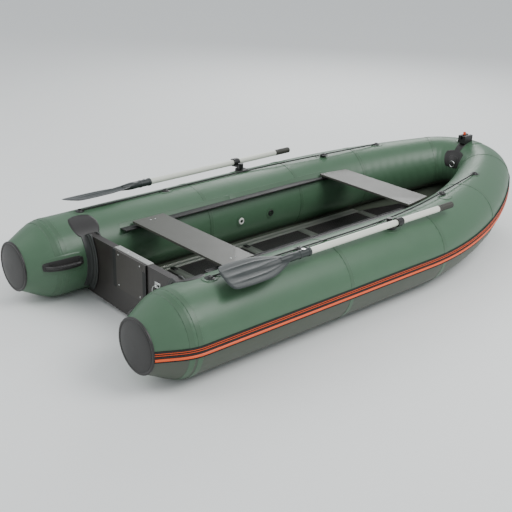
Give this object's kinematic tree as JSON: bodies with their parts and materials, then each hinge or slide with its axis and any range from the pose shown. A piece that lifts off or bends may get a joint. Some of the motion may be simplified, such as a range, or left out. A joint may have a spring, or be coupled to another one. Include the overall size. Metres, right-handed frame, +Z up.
{
  "type": "inflatable boat",
  "caption": "Keeled inflatable boat with a curved buoyancy tube, plywood transom, board floor, benches sliding on rails and oars swinging in their locks.",
  "frame": {"origin": "middle of the length and beam, on the ground under the tube", "axes": "+X to the bow, +Y to port, +Z up"},
  "size_m": [3.3299, 1.5918, 0.57],
  "materials": {
    "tube_fabric": "matt coated",
    "cap_rubber": "moulded",
    "bottom_fabric": "matt coated",
    "strake_rubber": "extruded",
    "transom_board": "painted plywood",
    "clamp_aluminium": "folded sheet",
    "pad_plastic": "moulded",
    "strip_rubber": "matt",
    "holder_rubber": "extruded",
    "ring_steel": "polished wire",
    "floor_board": "coated plywood",
    "floor_aluminium": "extruded",
    "rail_fabric": "matt",
    "bench_board": "painted plywood",
    "slider_plastic": "moulded",
    "fitting_plastic": "moulded",
    "handle_rubber": "moulded",
    "knob_plastic": "moulded",
    "lock_plastic": "moulded",
    "shaft_aluminium": "anodised",
    "grip_plastic": "moulded",
    "blade_plastic": "moulded",
    "line_rope": "braided"
  },
  "bodies": {
    "hull": {"air_valves": "fitting_plastic", "anchor_block": "fitting_plastic", "anchor_knob": "knob_plastic", "bottom_skin": "bottom_fabric", "bow_ring": "ring_steel", "bow_strap": "handle_rubber", "bow_tube": "tube_fabric", "carrying_handles": "handle_rubber", "clamp_plate": "clamp_aluminium", "cross_profile_1": "floor_aluminium", "cross_profile_2": "floor_aluminium", "cross_profile_3": "floor_aluminium", "cross_profile_4": "floor_aluminium", "floor_board_1": "floor_board", "floor_board_2": "floor_board", "floor_board_3": "floor_board", "floor_board_4": "floor_board", "floor_board_5": "floor_board", "keel_tube": "bottom_fabric", "line_holders": "fitting_plastic", "motor_pad": "pad_plastic", "pad_strips": "strip_rubber", "port_bench_rail": "rail_fabric", "port_end_cap": "cap_rubber", "port_grab_line": "line_rope", "port_oarlock_base": "fitting_plastic", "port_stringer": "floor_aluminium", "port_transom_holder": "holder_rubber", "port_tube": "tube_fabric", "relief_valve": "fitting_plastic", "rub_strake": "strake_rubber", "starboard_bench_rail": "rail_fabric", "starboard_end_cap": "cap_rubber", "starboard_grab_line": "line_rope", "starboard_oarlock_base": "fitting_plastic", "starboard_stringer": "floor_aluminium", "starboard_transom_holder": "holder_rubber", "starboard_tube": "tube_fabric", "transom": "transom_board", "transom_patches": "tube_fabric", "transom_ring": "ring_steel"},
    "aft_bench": {"aft_bench": "bench_board", "aft_bench_sliders": "slider_plastic"},
    "forward_bench": {"forward_bench": "bench_board", "forward_bench_sliders": "slider_plastic"},
    "port_oar": {"port_oarlock": "lock_plastic", "port_oar_shaft": "shaft_aluminium", "port_oar_grip": "grip_plastic", "port_oar_blade": "blade_plastic"},
    "starboard_oar": {"starboard_oarlock": "lock_plastic", "starboard_oar_shaft": "shaft_aluminium", "starboard_oar_grip": "grip_plastic", "starboard_oar_blade": "blade_plastic"}
  },
  "joints": [
    {"name": "aft_bench_slide", "type": "slide", "parent": "hull", "child": "aft_bench", "axis": [1, 0, 0], "range_m": [-0.12, 0.55]},
    {"name": "forward_bench_slide", "type": "slide", "parent": "hull", "child": "forward_bench", "axis": [1, 0, 0], "range_m": [-0.5, 0]},
    {"name": "port_oar_swing", "type": "hinge", "parent": "hull", "child": "port_oar", "pos_m": [-0.025, 0.62, 0.44], "axis": [0, 0, 1], "range_deg": [-100, 0]},
    {"name": "starboard_oar_swing", "type": "hinge", "parent": "hull", "child": "starboard_oar", "pos_m": [-0.025, -0.62, 0.44], "axis": [0, 0, 1], "range_deg": [0, 100]}
  ]
}
